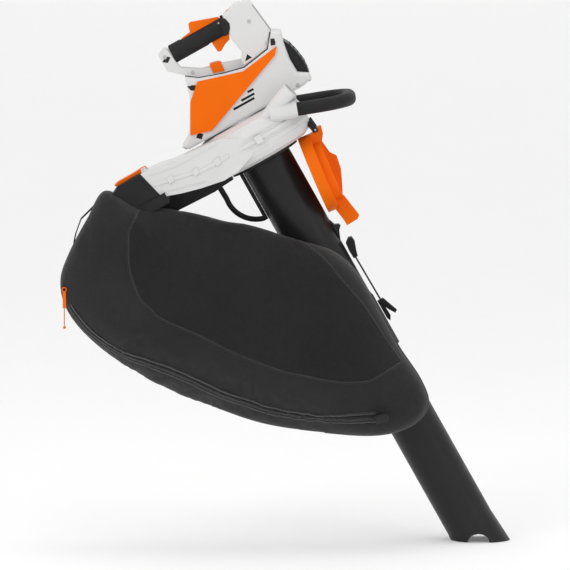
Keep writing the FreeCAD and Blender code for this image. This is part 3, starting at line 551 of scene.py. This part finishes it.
def trim(name, mesh, material):
    """Finishes a piece sewn to the bag."""
    made = new_object(name, *mesh, material)
    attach(made, "machine")
    return made


def ribbon(path, profile):
    """A strip along a path on the cloth, its section given as (across, up) points."""
    vertices, faces = [], []
    size = len(profile)
    framed = frames_along(path)
    for hit, normal, run, across in framed:
        vertices += [hit + across * a + normal * u for a, u in profile]
    for k in range(len(framed) - 1):
        for s in range(size):
            n = (s + 1) % size
            faces.append((k * size + s, k * size + n, (k + 1) * size + n, (k + 1) * size + s))
    faces.append(tuple(range(size))[::-1])
    faces.append(tuple(len(vertices) - size + s for s in range(size)))
    return vertices, faces


def blocks(framed, size, across_shift, up_shift):
    """A small block at each frame: size along, across and up."""
    vertices, faces = [], []
    half = [length / 2 for length in size]
    for hit, normal, run, across in framed:
        centre = hit + across * across_shift + normal * up_shift
        first = len(vertices)
        for a in (-1, 1):
            for b in (-1, 1):
                for c in (-1, 1):
                    vertices.append(centre + run * half[0] * a + across * half[1] * b + normal * half[2] * c)
        for face in ((0, 1, 3, 2), (4, 6, 7, 5), (0, 4, 5, 1), (2, 3, 7, 6), (0, 2, 6, 4), (1, 5, 7, 3)):
            faces.append(tuple(first + index for index in face))
    return vertices, faces


# Sections across a strip: how far across and how far off the cloth.
WELT = [(-1.6 * MM, -0.6 * MM), (-1.1 * MM, 0.7 * MM), (0, 1.1 * MM), (1.1 * MM, 0.7 * MM),
        (1.6 * MM, -0.6 * MM)]
PIPING_RADIUS = 2.2 * MM
PIPING = [(PIPING_RADIUS * math.cos(a), 1.2 * MM + PIPING_RADIUS * math.sin(a))
          for a in np.linspace(0, 2 * math.pi, 9)[:-1]]
TAPE = [(-9 * MM, -0.5 * MM), (-9 * MM, 0.5 * MM), (9 * MM, 0.5 * MM), (9 * MM, -0.5 * MM)]
FLAP = [(-3.2 * MM, 0.2 * MM), (-3 * MM, 1.5 * MM), (3 * MM, 1.5 * MM), (3.2 * MM, 0.2 * MM)]


def sew_bag():
    """The seam with its stitches, the zip and the piping of the bag's low end."""
    seam = sewn_path(SEAM_SEEN, 4 * MM)
    trim("bag_seam_welt", ribbon(seam, WELT), BAG_EDGE)
    stitches = blocks(frames_along(seam), (2.4 * MM, 0.6 * MM, 0.5 * MM), -4 * MM, 0.2 * MM)
    trim("bag_seam_stitches", stitches, THREAD)
    zip_path = sewn_path(ZIP_SEEN, 3 * MM)
    trim("zip_tape", ribbon(zip_path, TAPE), WEBBING)
    framed = frames_along(zip_path)
    trim("zip_teeth", blocks(framed, (1.5 * MM, 5 * MM, 1.4 * MM), 0, 0.9 * MM), TEETH)
    for side in (-1, 1):
        hem = ribbon(zip_path, [(a + side * 10.5 * MM, u) for a, u in FLAP])
        trim(f"zip_hem_{side + 1}", hem, BAG_EDGE)
        stitches = blocks(framed, (2.0 * MM, 0.7 * MM, 0.5 * MM), side * 12 * MM, 1.6 * MM)
        trim(f"zip_stitches_{side + 1}", stitches, THREAD)
    outer = [(x * MM, z * MM) for x, z in BAG_OUTLINE[10:17]]
    edge = []
    for p in smooth_loop(outer, 60, closed=False):
        outward = Vector((p.x - middle.x, 0, p.y - middle.y)).normalized()
        aim = Vector((p.x, BAG_RIM - 4 * MM, p.y))
        hit, _, _, _ = surface.ray_cast(aim + outward * 0.2, -outward)
        if hit is not None:
            edge.append((hit, outward))
    trim("bag_end_piping", ribbon(edge, PIPING), PIPE)


sew_bag()

# ------------------------------------------------ details of the housings


def prism(name, points, low, high, material, body="machine", bevel=0.5 * MM):
    """A plate whose outline lies in the machine's side plane, between two distances towards the near side."""
    vertices = [machine(x, -y, z) for y in (low, high) for x, z in points]
    count = len(points)
    faces = [tuple(range(count)), tuple(range(2 * count - 1, count - 1, -1))]
    faces += [(k, count + k, count + (k + 1) % count, (k + 1) % count) for k in range(count)]
    made = new_object(name, vertices, faces, material, smooth=False)
    face_outward(made)
    soften(made, bevel)
    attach(made, body)
    return made


def both_sides(name, points, low, high, material, bevel=0.5 * MM):
    """The same plate on the near side and on the far side."""
    prism(f"{name}_right", points, low, high, material, bevel=bevel)
    prism(f"{name}_left", points, -high, -low, material, bevel=bevel)


MOTOR_SIDE, BLOCK_SIDE, STRUT_SIDE = 58, 46, 19
# Painted shade: dark plates just proud of the shells where the screw wells are. They stand for the shade
# inside the wells, which are not cut.
WELL_SHADES = {
    "well_front_shade": ([(-69, 222), (-51, 215), (-55, 203), (-66, 210)], MOTOR_SIDE),
    "well_low_shade": ([(-107, 114), (-97, 122), (-89, 113), (-98, 105)], MOTOR_SIDE),
    "well_top_shade": ([(134, 210), (141, 224), (149, 220), (144, 207)], MOTOR_SIDE),
    "well_block_shade": ([(68, 207), (80, 219), (85, 207)], BLOCK_SIDE),
    "well_grip_shade": ([(-92, 292), (-80, 300), (-71, 293), (-82, 285)], STRUT_SIDE),
}
for label, (corners, side) in WELL_SHADES.items():
    both_sides(label, corners, side - 1, side + 0.35, SHADE_AND_JOINT_DARK, 0.2 * MM)


def band_round(name, radius, height, depth, z, start, end, material):
    """A raised line round the fan housing, between two angles of the machine frame."""
    vertices, faces = [], []
    angles = np.radians(np.linspace(start, end, 90))
    for angle in angles:
        for r, dz in ((radius - 1, -height / 2), (radius + depth, -height / 2), (radius + depth, height / 2),
                      (radius - 1, height / 2)):
            vertices.append(machine(r * math.cos(angle), r * math.sin(angle), z + dz))
    for k in range(len(angles) - 1):
        for c in range(4):
            n = (c + 1) % 4
            faces.append((4 * k + c, 4 * k + n, 4 * k + 4 + n, 4 * k + 4 + c))
    faces += [(3, 2, 1, 0), tuple(len(vertices) - 4 + c for c in range(4))]
    made = new_object(name, vertices, faces, material, smooth=False)
    soften(made, 0.4 * MM)
    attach(made, "machine")


DUCT_SIDE = 127
for index, (radius, z) in enumerate(((128, 62), (127.6, 38), (126, 28))):
    band_round(f"fan_rib_{index}", radius, 2.2, 1.3, z, -124, 150, WHITE)
prism("duct_flange", [(-60, 46), (-123, 46), (-236, 70.5), (-238.2, 79.5), (-124, 54), (-60, 54)],
      DUCT_SIDE - 1, DUCT_SIDE + 2.2, WHITE)
for index, (x, z) in enumerate(((-88, 50), (-140, 53.6), (-196, 65.9))):
    prism(f"duct_clip_{index}", [(x - 7, z - 8), (x + 7, z - 5), (x + 7, z + 9), (x - 7, z + 6)],
          DUCT_SIDE - 1, DUCT_SIDE + 4.2, WHITE, bevel=0.8 * MM)
prism("duct_rib_low", [(-130, 24), (-222, 48), (-222, 50.5), (-130, 26.5)], DUCT_SIDE - 1,
      DUCT_SIDE + 1.4, WHITE, bevel=0.4 * MM)
prism("duct_rib_high", [(-70, 84), (-170, 84), (-232, 96), (-232, 98.5), (-170, 86.5), (-70, 86.5)],
      DUCT_SIDE - 1, DUCT_SIDE + 1.4, WHITE, bevel=0.4 * MM)
# Painted shade: a dark plate inside the housing behind the vent slots, so that the slots read dark.
prism("vent_painted_shade", [(-12, 122), (60, 122), (60, 152), (-12, 152)], 52, 54, SHADE_AND_JOINT_DARK)
GRIP_END = [(56, 276), (66, 277), (75, 286), (79, 296), (76, 309), (70, 315.5), (64, 317), (60, 296)]
both_sides("grip_end", GRIP_END, BLOCK_SIDE - 1, BLOCK_SIDE + 1, RUBBER, 0.8 * MM)


HORN_STEPS, HORN_TURNS = 14, 28


def horn(name, side):
    """The housing rises in a long taper into each socket of the front handle."""
    start, end = Vector((22, side * 96, 74)), Vector((127, side * 108, 108.5))
    along = (end - start).normalized()
    out = along.cross(Vector((0, 1, 0))).normalized()
    over = along.cross(out)
    vertices, faces = [], []
    for k in range(HORN_STEPS):
        share = k / (HORN_STEPS - 1)
        centre = start.lerp(end, share)
        size = 7 + 10.4 * math.sin(share * math.pi / 2)
        for t in range(HORN_TURNS):
            angle = 2 * math.pi * t / HORN_TURNS
            point = centre + out * size * math.cos(angle) + over * size * math.sin(angle)
            vertices.append(machine(*point))
    for k in range(HORN_STEPS - 1):
        first = HORN_TURNS * k
        for t in range(HORN_TURNS):
            n = (t + 1) % HORN_TURNS
            faces.append((first + t, first + n, first + HORN_TURNS + n, first + HORN_TURNS + t))
    faces.append(tuple(range(HORN_TURNS))[::-1])
    made = new_object(name, vertices, faces, WHITE)
    face_outward(made)
    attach(made, "machine")


horn("handle_horn_near", -1)
horn("handle_horn_far", 1)
SEAM_SIDE = 47.6
SEAM_LINE = [(-62, 243), (-38, 225.6), (12, 208.2), (60, 197), (124, 206.8), (147, 236)]
for side in (-1, 1):
    line = [machine(x, side * SEAM_SIDE, z) for x, z in SEAM_LINE]
    joint_line = tube_along(f"shell_joint_{side + 1}", line, 1.3 * MM, SHADE_AND_JOINT_DARK)
    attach(joint_line, "machine")


# ------------------------------------------------ floor, light and camera
FLOOR, CURVE = 26, 2  # metres: the flat floor, beyond the farthest camera, and the rise into the wall
FLOOR_GAP = 0.5 * MM


def build_stage():
    """A round floor that curves up into a wall far outside every camera."""
    section = [(0.001, 0), (FLOOR, 0)]
    for angle in np.linspace(0, math.pi / 2, 10)[1:]:
        section.append((FLOOR + CURVE * math.sin(angle), CURVE - CURVE * math.cos(angle)))
    section.append((FLOOR + CURVE, (FLOOR + CURVE) / 2))
    turns = 64
    vertices = [(r * math.cos(t), r * math.sin(t), GROUND - FLOOR_GAP + z)
                for t in np.linspace(0, 2 * math.pi, turns + 1)[:-1] for r, z in section]
    size = len(section)
    faces = [(size * t + k, size * ((t + 1) % turns) + k, size * ((t + 1) % turns) + k + 1, size * t + k + 1)
             for t in range(turns) for k in range(size - 1)]
    paper = Look("studio_paper", (0.93, 0.93, 0.93), 0.9, Specular_IOR_Level=0.0)
    paper.shader.inputs["Emission Color"].default_value = (1, 1, 1, 1)
    paper.shader.inputs["Emission Strength"].default_value = 0.14
    tone = paper.tint(paper.spread(paper.noise(3, 2), 0, 1), 0.995, 1.005)
    floor = new_object("studio_floor", vertices, faces,
                       paper.finish(tone, paper.spread(paper.noise(40), 0.88, 0.92)))


def area_light(name, place, aim, size, power):
    """A soft rectangular lamp that shines at a point."""
    data = bpy.data.lights.new(name, "AREA")
    data.shape = "RECTANGLE"
    data.size, data.size_y = size
    data.energy = power
    light = bpy.data.objects.new(name, data)
    light.location = place
    light.rotation_mode = "QUATERNION"
    light.rotation_quaternion = (Vector(aim) - Vector(place)).to_track_quat("-Z", "Y")
    bpy.context.scene.collection.objects.link(light)


build_stage()
AIM = Vector((0.190, 0, -0.5405))  # the middle of the picture
FRAME_WIDTH = 1.254  # metres across the picture at that distance
bpy.context.scene.view_settings.view_transform = "Standard"
world = bpy.data.worlds.new("studio")
bpy.context.scene.world = world
world.use_nodes = True
world.node_tree.nodes["Background"].inputs["Color"].default_value = (1, 1, 1, 1)
world.node_tree.nodes["Background"].inputs["Strength"].default_value = 0.78
area_light("key", (-2.0, -2.4, 1.7), AIM, (1.2, 1.2), 20)
area_light("fill", (2.6, -2.2, 0.6), AIM, (0.7, 2.2), 5)
area_light("top", (0.2, 0.3, 2.4), AIM, (2.0, 1.4), 12)

lens = bpy.data.cameras.new("camera")
lens.lens = 400  # a long lens, because the photograph shows little perspective
lens.clip_end = 60
camera = bpy.data.objects.new("camera", lens)
distance = FRAME_WIDTH * lens.lens / lens.sensor_width
camera.location = AIM + BACK * distance
camera.rotation_mode = "QUATERNION"
camera.rotation_quaternion = (-BACK).to_track_quat("-Z", "Y")
bpy.context.scene.collection.objects.link(camera)
bpy.context.scene.camera = camera
